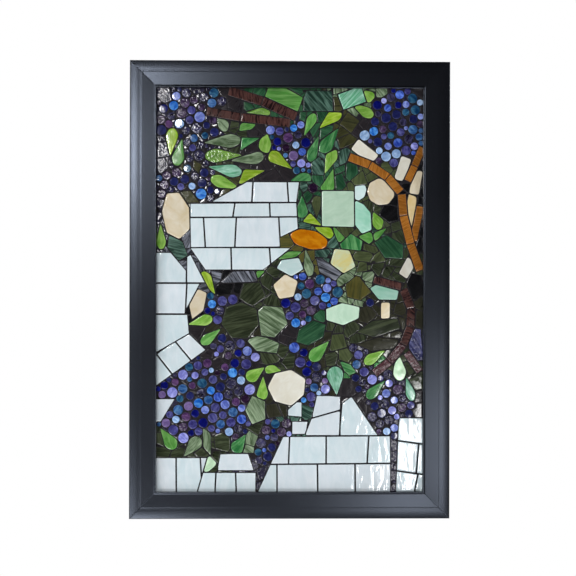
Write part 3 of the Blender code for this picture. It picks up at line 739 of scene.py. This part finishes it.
class GlassMesh:
    """Gathers pieces of cut glass into one mesh, with the colours and the grain of each."""

    def __init__(self, cutting: Cutting) -> None:
        """Start an empty mesh.

        Args:
            cutting: How its glass is cut.
        """
        self.cutting = cutting
        self.vertices: list[np.ndarray] = []
        self.faces: list[Face] = []
        self.marks: dict[str, list[np.ndarray]] = {"grain": [], "body": [], "streak": [], "edge": []}
        self.count = 0

    def add(self, tile: Tile) -> None:
        """Cut one piece: its flank, its worn edge, and rings of points over its face.

        Args:
            tile: The piece.
        """
        cutting = self.cutting
        outline, tightest = cutting.rounded(tile)
        inward = inward_normals(outline)
        centre = outline.mean(axis=0)
        half = float(np.min(np.hypot(*(outline - centre).T)))
        arris = min(cutting.arris, 0.25 * half, 0.7 * tightest)
        # Of each rim its inset, its share of the outline, its height, and how much edge and flank it is
        rims = [
            (0.0, 1.0, tile.back, 1.0, 1.0),
            (0.0, 1.0, tile.front - arris, 1.0, 1.0),
            (0.3 * arris, 1.0, tile.front - 0.3 * arris, 1.0, 0.5),
            (arris, 1.0, tile.front, 0.9, 0.0),
            (arris, cutting.inner_ring, tile.front, 0.35, 0.0),
        ]
        inner = min(9, max(2, round(half / cutting.ring_spacing)))
        rims += [
            (arris, cutting.inner_ring * (1 - step / (inner + 1)), tile.front, 0.0, 0.0)
            for step in range(1, inner + 1)
        ]
        rings = [
            (centre + (outline + inward * inset - centre) * share, 1 - share, height, edge, flank)
            for inset, share, height, edge, flank in rims
        ]
        point = centre[None, :]
        rings += [(point, 1.0, tile.front, 0.0, 0.0), (point, -1.0, tile.back, 1.0, 1.0)]
        lean = random.Random(int(tile.seed * 1e6))
        tilt = (lean.uniform(-1, 1) * cutting.tilt / half, lean.uniform(-1, 1) * cutting.tilt / half)
        base, size = self.count, len(outline)
        for flat, inside, height, edge, flank in rings:
            away = flat - centre
            heights = np.full(len(flat), height)
            if flank < 1:
                heights += cutting.crown * (1 - (1 - inside) ** 2)
                heights += away[:, 0] * tilt[0] + away[:, 1] * tilt[1]
                heights += self.ripple(flat, tile.seed) * min(1.0, 3 * inside)
            self.vertices.append(np.stack((flat[:, 0], -heights, flat[:, 1]), axis=1))
            self.note(tile, away, (edge, flank, tile.sheet.grit))
            self.count += len(flat)
        self.faces += bands(base, size, len(rims) - 1)
        last, top = base + (len(rims) - 1) * size, base + len(rims) * size
        for step in range(size):
            following = (step + 1) % size
            self.faces.append((last + step, last + following, top))
            self.faces.append((base + following, base + step, top + 1))

    def ripple(self, flat: np.ndarray, seed: float) -> np.ndarray:
        """How much the rolled sheet waves at some places of a piece."""
        places = flat / self.cutting.wave_length
        return np.array([noise.noise(Vector((x, z, seed))) for x, z in places]) * self.cutting.wave

    def note(self, tile: Tile, away: np.ndarray, edge: Colour) -> None:
        """Note at some points what the finish needs to know.

        Args:
            tile: The piece.
            away: The points, from the middle of the piece.
            edge: How near its edge they are, whether they are on its flank, and how rough it is.
        """
        c, s = math.cos(tile.grain), math.sin(tile.grain)
        along, across = away[:, 0] * c + away[:, 1] * s, away[:, 1] * c - away[:, 0] * s
        seed = np.full(len(away), tile.seed)
        self.marks["grain"].append(np.stack((along, across, seed), axis=1))
        for mark, colour in (("body", tile.sheet.body), ("streak", tile.sheet.streak)):
            self.marks[mark].append(np.tile([part * tile.shade for part in colour], (len(away), 1)))
        self.marks["edge"].append(np.tile(edge, (len(away), 1)))

    def made(self, name: str, material: Material) -> Object:
        """Close the mesh and make its object."""
        marks = {mark: np.concatenate(values) for mark, values in self.marks.items()}
        return shaped(name, np.concatenate(self.vertices).tolist(), self.faces, material, marks)


# Finishes


class Reading:
    """A number that the nodes work out over a surface, with the usual operators."""

    def __init__(self, recipe: "Recipe", socket: Socket) -> None:
        """Wrap an output socket."""
        self.recipe = recipe
        self.socket = socket

    def _math(self, operation: str, first: "Reading | float", second: "Reading | float") -> "Reading":
        """Result of a Math node on two numbers."""
        made = self.recipe.node("Math", {"operation": operation}, {0: first, 1: second})
        return Reading(self.recipe, made.outputs[0])

    def __add__(self, other: "Reading | float") -> "Reading":
        """Sum."""
        return self._math("ADD", self, other)

    def __radd__(self, other: float) -> "Reading":
        """Sum with a number in front."""
        return self._math("ADD", other, self)

    def __sub__(self, other: "Reading | float") -> "Reading":
        """Difference."""
        return self._math("SUBTRACT", self, other)

    def __rsub__(self, other: float) -> "Reading":
        """Difference from a number in front."""
        return self._math("SUBTRACT", other, self)

    def __mul__(self, other: "Reading | float") -> "Reading":
        """Product."""
        return self._math("MULTIPLY", self, other)

    def __rmul__(self, other: float) -> "Reading":
        """Product with a number in front."""
        return self._math("MULTIPLY", other, self)

    def span(self, low: float, high: float) -> "Reading":
        """Stretch the range from low to high over 0 to 1, cut off at both ends."""
        ends = {"Value": self, "From Min": low, "From Max": high}
        return Reading(self.recipe, self.recipe.node("MapRange", {"clamp": True}, ends).outputs["Result"])


class Nodes:
    """Nodes that are added to a tree."""

    def __init__(self, tree: bpy.types.NodeTree) -> None:
        """Take up a tree."""
        self.tree = tree

    def node(self, kind: str, settings: dict | None = None, sockets: dict | None = None) -> bpy.types.Node:
        """Add any node.

        Args:
            kind: Its type without the shader prefix.
            settings: Its settings, and the stops of a ramp, which are set first.
            sockets: Values or links of its inputs.

        Returns:
            The node.
        """
        made = self.tree.nodes.new("ShaderNode" + kind)
        for key, value in (settings or {}).items():
            setattr(made, key, value)
        for key, value in (sockets or {}).items():
            self.feed(made.inputs[key], value)
        return made

    def feed(self, socket: Socket, value: object) -> None:
        """Give a socket its value or its link.

        Args:
            socket: The socket.
            value: A value, or what is linked to it.
        """
        if isinstance(value, Reading):
            self.tree.links.new(value.socket, socket)
        elif isinstance(value, Socket):
            self.tree.links.new(value, socket)
        else:
            socket.default_value = value


class Recipe(Nodes):
    """The nodes of one finish."""

    def __init__(self, name: str) -> None:
        """Start a finish with a plain shader.

        Args:
            name: Its name.
        """
        self.material = bpy.data.materials.new(name)
        self.material.use_nodes = True
        super().__init__(self.material.node_tree)
        self.shader = self.tree.nodes["Principled BSDF"]

    def mark(self, name: str) -> Socket:
        """What the mesh says about a place on it."""
        settings = {"attribute_type": "GEOMETRY", "attribute_name": name}
        return self.node("Attribute", settings).outputs["Vector"]

    def parts(self, vector: Socket) -> list[Reading]:
        """The three numbers of a vector."""
        made = self.node("SeparateXYZ", None, {0: vector})
        return [Reading(self, output) for output in made.outputs]

    def place(self) -> Socket:
        """Place on the object in metres."""
        return self.node("TexCoord").outputs["Object"]

    def stretched(self, vector: Socket, shares: Colour) -> Socket:
        """A vector with each of its numbers multiplied."""
        return self.node("VectorMath", {"operation": "MULTIPLY"}, {0: vector, 1: shares}).outputs[0]

    def noise(
        self, vector: Socket, scale: float, detail: float = 2.0, roughness: float = 0.5, bend: float = 0.0,
    ) -> Reading:
        """Soft noise, about 0 to 1: how fine it is, its finer layers, how strong and how bent they are."""
        values = {"Vector": vector, "Scale": scale, "Detail": detail, "Roughness": roughness}
        return Reading(self, self.node("TexNoise", None, values | {"Distortion": bend}).outputs[0])

    def blend(self, share: Reading | float, first: object, second: object) -> Socket:
        """Mix two colours or links, as much of the second as the share says."""
        ends = [(*end, 1.0) if isinstance(end, tuple) else end for end in (first, second)]
        return self.node("Mix", {"data_type": "RGBA"}, {0: share, 6: ends[0], 7: ends[1]}).outputs[2]

    def raised(self, height: Reading) -> None:
        """Give the surface a relief, its height in metres."""
        values = {"Height": height, "Distance": 1.0, "Strength": 1.0}
        self.set(Normal=self.node("Bump", None, values).outputs[0])

    def set(self, **values: object) -> None:
        """Set sockets of the shader, with underscores for the spaces in their names."""
        for key, value in values.items():
            self.feed(self.shader.inputs[key.replace("_", " ")], value)


@dataclass(frozen=True)
class GlassFinish:
    """Sheet glass with streaks along its grain, soft clouds, a rippled face and rough worn flanks; its
    edges carry a painted highlight, its flanks painted shade.
    """

    name: str
    streak_width: float = 0.0030
    streak_length: float = 0.030
    streak_from: float = 0.42
    streak_to: float = 0.66
    cloud_size: float = 0.020
    cloud_depth: float = 0.10
    ripple_size: float = 0.0060
    ripple_height: float = 0.00010
    ripple_stretch: float = 1.0
    grit_size: float = 0.0046
    grit_height: float = 0.00062
    roughness: float = 0.10
    # How much a painted highlight lightens each piece towards its edge
    painted_edge_highlight: float = 0.20
    # Painted shade on the flanks down in the joints, and its near-black colour
    flank_painted_shade: float = 0.45
    flank_shade_colour: Colour = (0.02, 0.02, 0.025)

    def dress(self) -> Material:
        """Make the material.

        Returns:
            The material.
        """
        recipe = Recipe(self.name)
        grain = recipe.mark("grain")
        edge, flank, grit = recipe.parts(recipe.mark("edge"))
        along = recipe.stretched(grain, (1 / self.streak_length, 1 / self.streak_width, 1.0))
        streaks = recipe.noise(along, 1.0, 3.0, 0.6, 0.6).span(self.streak_from, self.streak_to)
        around = recipe.stretched(grain, (1 / self.cloud_size, 1 / self.cloud_size, 1.0))
        cloud = recipe.noise(around, 1.0, 3.0)
        colour = recipe.blend(streaks, recipe.mark("body"), recipe.mark("streak"))
        # Random clouds, and a painted highlight that lightens each piece towards its edge
        shade = 1.0 + (cloud - 0.5) * (2.5 * self.cloud_depth) + edge * self.painted_edge_highlight
        colour = recipe.node("VectorMath", {"operation": "SCALE"}, {0: colour, "Scale": shade}).outputs[0]
        grit_field = recipe.noise(recipe.stretched(grain, (1.0, 1.0, 0.001)), 1 / self.grit_size, 2.0, 0.6)
        # Painted shade: the flanks down in the joints are darkened towards near black
        colour = recipe.blend(flank * self.flank_painted_shade, colour, self.flank_shade_colour)
        rolled = recipe.stretched(grain, (1 / self.ripple_stretch, 1.0, 0.02))
        ripple = recipe.noise(rolled, 1 / self.ripple_size, 2.0, 0.45)
        roughness = self.roughness + (cloud - 0.5) * 0.06 + flank * 0.5
        recipe.set(Base_Color=colour, Roughness=roughness, IOR=1.52)
        recipe.raised(ripple * self.ripple_height + grit_field * grit * self.grit_height)
        return recipe.material


@dataclass(frozen=True)
class GroutFinish:
    """Dark cement grout with fine sand in it."""

    name: str = "dark_grout"
    colour: Colour = paint(24, 22, 26)
    pale: Colour = paint(38, 35, 39)

    def dress(self) -> Material:
        """Make the material.

        Returns:
            The material.
        """
        recipe = Recipe(self.name)
        place = recipe.place()
        patches = recipe.noise(place, 45.0, 4.0, 0.6)
        sand = recipe.noise(place, 1400.0, 3.0, 0.7)
        colour = recipe.blend(patches.span(0.35, 0.7) * 0.6, self.colour, self.pale)
        colour = recipe.blend(sand.span(0.66, 0.80) * 0.25, colour, paint(84, 78, 78))
        recipe.set(Base_Color=colour, Roughness=0.78 + (sand - 0.5) * 0.2, Specular_IOR_Level=0.15)
        recipe.raised(sand * 0.00012 + patches * 0.0003)
        return recipe.material


@dataclass(frozen=True)
class LacquerFinish:
    """Satin black lacquer on wood, a little dusty, and paler along its edges: partly rubbed wear, partly a
    painted highlight.
    """

    name: str = "satin_black_lacquer"
    colour: Colour = paint(8, 8, 11)
    dust: Colour = paint(13, 13, 17)
    roughness: float = 0.235

    def dress(self) -> Material:
        """Make the material.

        Returns:
            The material.
        """
        recipe = Recipe(self.name)
        place = recipe.place()
        dust = recipe.noise(place, 9.0, 4.0, 0.6)
        brush = recipe.noise(place, 260.0, 3.0, 0.6)
        peel = recipe.noise(place, 900.0, 1.0, 0.4)
        colour = recipe.blend(dust.span(0.35, 0.75) * 0.18, self.colour, self.dust)
        # Paler grey along the edges in brushed patches: partly rubbed wear, partly a painted highlight
        # where the edges catch the light
        rubbed_and_highlight, _, _ = recipe.parts(recipe.mark("rubbed_and_highlight"))
        colour = recipe.blend(rubbed_and_highlight * brush.span(0.45, 0.75) * 0.10, colour, paint(128, 130, 140))
        recipe.set(Base_Color=colour, Roughness=self.roughness + (dust - 0.5) * 0.04, IOR=1.58)
        recipe.set(Specular_Tint=(0.70, 0.80, 1.0, 1.0))
        recipe.raised(peel * 0.000008 + brush * 0.000006)
        return recipe.material


@dataclass(frozen=True)
class BoardFinish:
    """Raw fibreboard with short flecks."""

    name: str = "raw_fibreboard"
    colour: Colour = paint(164, 134, 98)
    fleck: Colour = paint(118, 92, 62)

    def dress(self) -> Material:
        """Make the material.

        Returns:
            The material.
        """
        recipe = Recipe(self.name)
        place = recipe.place()
        flecks = recipe.noise(recipe.stretched(place, (1.0, 1.0, 0.35)), 900.0, 3.0, 0.65)
        stains = recipe.noise(place, 8.0, 4.0, 0.55)
        colour = recipe.blend(flecks.span(0.45, 0.68) * 0.6, self.colour, self.fleck)
        colour = recipe.blend(stains.span(0.5, 0.8) * 0.25, colour, paint(140, 112, 82))
        recipe.set(Base_Color=colour, Roughness=0.82 + (flecks - 0.5) * 0.15)
        recipe.raised(flecks * 0.00006)
        return recipe.material


# Parts of the panel


@dataclass
class Glazing:
    """The glass of the picture, cut and dressed kind by kind."""

    picture: Picture
    cuttings: dict[Kind, Cutting] = field(default_factory=lambda: {
        Kind.STONE: Cutting(0.0008, crown=0.0, wave=0.0),
        Kind.CREAM: Cutting(0.0030, wave=0.00008),
        Kind.MINT: Cutting(0.0024, wave=0.00008),
        Kind.ORANGE: Cutting(0.0060, wave=0.00008),
        Kind.LEAF: Cutting(0.0060, crown=0.00004, wave=0.00006),
        Kind.SLAB: Cutting(0.0012, wave=0.00006),
        Kind.SHARD: Cutting(0.0009, wave=0.00008),
        Kind.CHIP: Cutting(0.0006, arris=0.00025, point_spacing=0.0032),
        Kind.AMBER: Cutting(0.0008, wave=0.00008, wander=0.00010),
        Kind.PLUM: Cutting(0.0008, wave=0.00010, wander=0.00010),
        Kind.GRAPE: Cutting(arris=0.00045, crown=0.00006, tilt=0.00026),
    })
    finishes: dict[Kind, GlassFinish] = field(default_factory=lambda: {
        Kind.STONE: GlassFinish(
            "opal_glass", 0.010, 0.030, 0.35, 0.75, cloud_depth=0.05, painted_edge_highlight=0.05,
            ripple_size=0.010, ripple_height=0.00034, ripple_stretch=3.0, roughness=0.05,
        ),
        Kind.CREAM: GlassFinish("cream_glass", 0.012, 0.020, 0.35, 0.70, cloud_depth=0.05, painted_edge_highlight=0.1),
        Kind.MINT: GlassFinish("mint_glass", 0.010, 0.022, 0.35, 0.70, cloud_depth=0.05, painted_edge_highlight=0.1),
        Kind.ORANGE: GlassFinish("orange_glass", 0.007, 0.016, 0.40, 0.68, painted_edge_highlight=0.15),
        Kind.LEAF: GlassFinish(
            "leaf_glass", 0.0050, 0.022, 0.40, 0.72, cloud_size=0.010, cloud_depth=0.32,
            ripple_height=0.00005, roughness=0.09,
        ),
        Kind.SLAB: GlassFinish(
            "streaky_glass", 0.0042, 0.040, cloud_depth=0.35, painted_edge_highlight=0.25, ripple_height=0.00007,
            streak_to=0.68,
        ),
        Kind.SHARD: GlassFinish(
            "ground_glass", 0.0036, cloud_depth=0.35, ripple_height=0.00007, streak_to=0.68,
        ),
        Kind.AMBER: GlassFinish("amber_glass", 0.0018, 0.020, 0.40, 0.72, cloud_depth=0.25),
        Kind.PLUM: GlassFinish(
            "plum_glass", 0.016, 0.0030, 0.40, 0.64, cloud_depth=0.25, painted_edge_highlight=0.2,
            ripple_size=0.0075, ripple_stretch=0.20, ripple_height=0.00004,
        ),
        Kind.GRAPE: GlassFinish(
            "grape_glass", 0.0045, 0.010, 0.40, 0.68, cloud_size=0.005, cloud_depth=0.30,
        ),
    })

    def build(self) -> None:
        """Cut every piece and set it in its place."""
        materials = {kind: finish.dress() for kind, finish in self.finishes.items()}
        materials[Kind.CHIP] = materials[Kind.SHARD]
        gathered: dict[Kind, GlassMesh] = {}
        for tile in self.picture.tiles:
            if tile.node:
                single = GlassMesh(self.cuttings[tile.kind])
                single.add(tile)
                piece = single.made("cut_" + tile.node, materials[tile.kind])
                set_piece(piece, tile.node, self.finishes[tile.kind].name)
            else:
                gathered.setdefault(tile.kind, GlassMesh(self.cuttings[tile.kind])).add(tile)
        for kind, gathering in gathered.items():
            set_piece(gathering.made(kind.value + "_pieces", materials[kind]), "grout_bed")


@dataclass
class GroutBed:
    """The grout between the pieces: an uneven face on a flat plate."""

    width: float = 0.4064
    height: float = 0.6096
    back: float = 0.0063
    front: float = 0.00885
    step: float = 0.0025
    unevenness: float = 0.00022
    waviness: float = 140

    def build(self) -> None:
        """Make the bed and set it in its place."""
        across, up = round(self.width / self.step), round(self.height / self.step)
        line, last = across + 1, (across + 1) * (up + 1) - 1
        vertices, faces = [], []
        for row in range(up + 1):
            for column in range(across + 1):
                x = (column / across - 0.5) * self.width
                z = (row / up - 0.5) * self.height
                lift = self.unevenness * noise.noise(Vector((x * self.waviness, z * self.waviness, 3.1)))
                vertices.append((x, -(self.front + lift), z))
        for row in range(up):
            for column in range(across):
                first = row * line + column
                faces.append((first, first + 1, first + line + 1, first + line))
        rim = [
            *range(across), *range(across, last, line),
            *range(last, last - across, -1), *range(last - across, 0, -line),
        ]
        start, face = len(vertices), len(faces)
        vertices += [(vertices[index][0], -self.back, vertices[index][2]) for index in rim]
        for step, here in enumerate(rim):
            following = (step + 1) % len(rim)
            faces.append((rim[following], here, start + step, start + following))
        faces.append(tuple(reversed(range(start, len(vertices)))))
        piece = shaped("grout", vertices, faces, GroutFinish().dress())
        for polygon in piece.data.polygons[face:]:
            polygon.use_smooth = False
        set_piece(piece, "grout_bed", "grout")


@dataclass
class PictureFrame:
    """Four lengths of mitred moulding, their section measured from the outer edge inwards."""

    outer_width: float = 0.4740
    outer_height: float = 0.6772
    width: float = 0.0395
    depth: float = 0.0220
    edge_round: float = 0.0012
    edge_drop: float = 0.0011
    band: float = 0.0145
    crease: float = 0.0022
    crease_depth: float = 0.00016
    scoop_fall: float = 0.0008
    lip: float = 0.0026
    lip_rise: float = 0.0003
    lip_drop: float = 0.0009
    rebate_cover: float = 0.0061
    rebate_depth: float = 0.0102
    mitre_gap: float = 0.00004
    mitre_dip: float = 0.00016
    mitre_steps: tuple[float, ...] = (0.0, 0.0005, 0.0010, 0.0020, 0.0100)

    def section(self) -> list[tuple[float, float, float]]:
        """Section of the moulding.

        Returns:
            Points as distance inwards, height above the back, and how much paler the lacquer is there,
            partly from rubbed wear and partly as painted highlight.
        """
        top = self.depth
        scoop_start, lip_start = self.band + self.crease, self.width - self.lip
        scoop_end = top - self.scoop_fall
        points = [(0.0, 0.0, 0.2), (0.0, top - self.edge_drop, 0.4)]
        shoulder = 0.8 * self.edge_drop
        for step in range(1, 8):
            turn = step / 7 * math.pi / 2
            rise = top - self.edge_drop + shoulder * math.sin(turn)
            points.append((self.edge_round * (1 - math.cos(turn)), rise, math.sin(2 * turn)))
        for step in range(1, 9):
            share = step / 8
            inward = self.edge_round + (self.band - self.edge_round) * share
            dome = (1.6 * share - 1) ** 2 if share < 0.625 else 0.5 * ((share - 0.625) / 0.375) ** 2
            points.append((inward, top - 0.2 * self.edge_drop * dome, 0.0))
        for share, fall in ((0.25, 0.62), (0.5, 1.0), (0.75, 0.80)):
            points.append((self.band + self.crease * share, top - self.crease_depth * fall, 0.0))
        for step in range(17):
            share = step / 16
            inward = scoop_start + (lip_start - scoop_start) * share
            points.append((inward, top - self.scoop_fall * (0.12 + 0.88 * share), 0.0))
        bead = ((0.08, 0.45), (0.2, 0.78), (0.38, 0.97), (0.55, 1.0), (0.75, 0.86), (0.9, 0.55))
        for share, rise in bead:
            points.append((lip_start + self.lip * share, scoop_end + self.lip_rise * rise, 0.3))
        points += [
            (self.width, scoop_end + self.lip_rise - self.lip_drop, 0.3),
            (self.width, self.rebate_depth, 0.0),
            (self.width - self.rebate_cover, self.rebate_depth, 0.0),
            (self.width - self.rebate_cover, 0.0, 0.0),
        ]
        return points

    def rail(self, name: str, length: float, half: float, degrees: float, material: Material) -> None:
        """Make one rail and set it in its place.

        Args:
            name: Name of the solid that it stands for.
            length: Its length along the outer edge.
            half: Distance of its outer edge from the middle of the panel.
            degrees: How far it is turned from the foot of the frame.
            material: Its finish.
        """
        section = self.section()
        pull_back = self.mitre_gap / math.sqrt(2)
        placing = Matrix.Rotation(math.radians(degrees), 4, "Y")
        stations = [(-1.0, reach) for reach in self.mitre_steps]
        stations += [(step / 5, 0.0) for step in range(-4, 5)]
        stations += [(1.0, -reach) for reach in reversed(self.mitre_steps)]
        cuts = len(stations) - 1
        vertices, rubbed_and_highlight = [], []
        for number, (share, shift) in enumerate(stations):
            for inward, height, wear_and_highlight in section:
                along = share * (length / 2 - inward - pull_back) + shift
                if number in (0, cuts) and height > self.rebate_depth:
                    height -= self.mitre_dip
                vertices.append(placing @ Vector((along, -height, inward - half)))
                rubbed_and_highlight.append((wear_and_highlight, 0.0, 0.0))
        size = len(section)
        faces = bands(0, size, cuts)
        faces.append(tuple(reversed(range(size))))
        faces.append(tuple(range(cuts * size, cuts * size + size)))
        piece = shaped("dressed_" + name, vertices, faces, material, {"rubbed_and_highlight": rubbed_and_highlight})
        piece.data.set_sharp_from_angle(angle=math.radians(35))
        set_piece(piece, name, "satin_black_wood")

    def build(self) -> None:
        """Make the four rails."""
        material = LacquerFinish().dress()
        width, height = self.outer_width, self.outer_height
        for turn, side in enumerate(("bottom", "left", "top", "right")):
            length, across = (height, width) if turn % 2 else (width, height)
            self.rail("frame_rail_" + side, length, across / 2, 90 * turn, material)


@dataclass
class BackBoard:
    """The thin board behind the glass, kept from the solids."""

    node: str = "back_board"

    def build(self) -> None:
        """Dress the board, whose shape stays."""
        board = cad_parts[self.node]
        board.data.materials.clear()
        board.data.materials.append(BoardFinish().dress())
        LOG.info("%s dressed", self.node)


# Studio


@dataclass(frozen=True)
class Softbox:
    """A flat soft light."""

    name: str
    place: Colour
    aim: Colour
    width: float
    height: float
    power: float

    def build(self) -> None:
        """Hang the light."""
        lamp = bpy.data.lights.new(self.name, "AREA")
        lamp.shape = "RECTANGLE"
        lamp.size, lamp.size_y = self.width, self.height
        lamp.energy = self.power
        light = bpy.data.objects.new(self.name, lamp)
        light.location = self.place
        way = Vector(self.aim) - Vector(self.place)
        light.rotation_euler = way.to_track_quat("-Z", "Y").to_euler()
        bpy.context.scene.collection.objects.link(light)


@dataclass
class Studio:
    """A pale floor far below, a white surround, soft lights and the camera."""

    floor_height: float = -1.50
    distance: float = 2.5
    turn: float = 1.6
    roll: float = 0.12
    lens: float = 104.75
    aim: Colour = (-0.0024, 0.0, 0.0027)
    surround: float = 0.008

    def build(self) -> None:
        """Set up the studio."""
        self.floor()
        self.world()
        for box in (
            Softbox("left_key", (-2.3, -2.2, 1.1), (0, 0, 0), 1.4, 1.4, 37.5),
            Softbox("right_key", (2.4, -2.2, 0.7), (0, 0, 0), 1.4, 1.4, 30.8),
            Softbox("upper_left_sheen", (-0.49, -2.4, 0.40), (-0.15, 0, 0.11), 0.18, 0.20, 7.8),
            Softbox("lower_right_sheen", (0.425, -2.4, -0.46), (0.12, 0, -0.14), 0.10, 0.38, 3.1),
            Softbox("foot_sheen", (-0.78, -2.4, -1.08), (-0.23, 0, -0.32), 0.86, 0.60, 24.5),
            Softbox("back_fill", (0.7, 2.3, 1.1), (0, 0, 0), 1.4, 1.4, 60),
            Softbox("floor_fill", (0, 1.1, 2.2), (0, 0.6, -1.5), 1.8, 1.2, 45),
        ):
            box.build()
        self.camera()

    def floor(self) -> None:
        """Lay the floor."""
        recipe = Recipe("pale_floor")
        speckle = recipe.noise(recipe.place(), 30.0, 3.0)
        colour = recipe.blend(speckle, (0.80, 0.80, 0.80), (0.86, 0.86, 0.86))
        recipe.set(Base_Color=colour, Roughness=0.8)
        side, front, back = 3.0, -3.4, 3.0
        corners = [(-side, front), (side, front), (side, back), (-side, back)]
        vertices = [(x, y, self.floor_height) for x, y in corners]
        shaped("studio_floor", vertices, [(0, 1, 2, 3)], recipe.material)

    def world(self) -> None:
        """Surround the panel with white, a softer white for what it mirrors."""
        world = bpy.data.worlds.new("studio")
        world.use_nodes = True
        nodes, ready = Nodes(world.node_tree), world.node_tree.nodes
        seen = ready["Background"].outputs[0]
        nodes.feed(ready["Background"].inputs["Color"], (1.0, 1.0, 1.0, 1.0))
        colours = {"Color": (0.96, 0.98, 1.0, 1.0), "Strength": self.surround}
        lit = nodes.node("Background", None, colours).outputs[0]
        shown = nodes.node("LightPath").outputs["Is Camera Ray"]
        either = nodes.node("MixShader", None, {0: shown, 1: lit, 2: seen}).outputs[0]
        nodes.feed(ready["World Output"].inputs["Surface"], either)
        bpy.context.scene.world = world
        bpy.context.scene.view_settings.view_transform = "Standard"

    def camera(self) -> None:
        """Set up the camera in front, a little to the left."""
        data = bpy.data.cameras.new("studio_camera")
        data.lens = self.lens
        data.sensor_width = 36.0
        camera = bpy.data.objects.new("studio_camera", data)
        turn = math.radians(self.turn)
        back = Vector((-math.sin(turn), -math.cos(turn), 0.0))
        aim = Vector(self.aim)
        camera.location = aim + back * self.distance
        level = (-back).to_track_quat("-Z", "Y").to_matrix().to_4x4()
        camera.rotation_euler = (level @ Matrix.Rotation(math.radians(self.roll), 4, "Z")).to_euler()
        bpy.context.scene.collection.objects.link(camera)
        bpy.context.scene.camera = camera


def main() -> None:
    """Build the panel and the studio."""
    logging.basicConfig(level=logging.INFO, format="%(name)s: %(message)s")
    picture = Picture()
    picture.read()
    LOG.info("%d pieces of glass in the solids", len(picture.tiles))
    picture.fill()
    LOG.info("%d pieces of glass in all", len(picture.tiles))
    picture.colour()
    BackBoard().build()
    GroutBed().build()
    Glazing(picture).build()
    PictureFrame().build()
    Studio().build()
    bpy.context.view_layer.update()


if __name__ == "__main__":
    main()
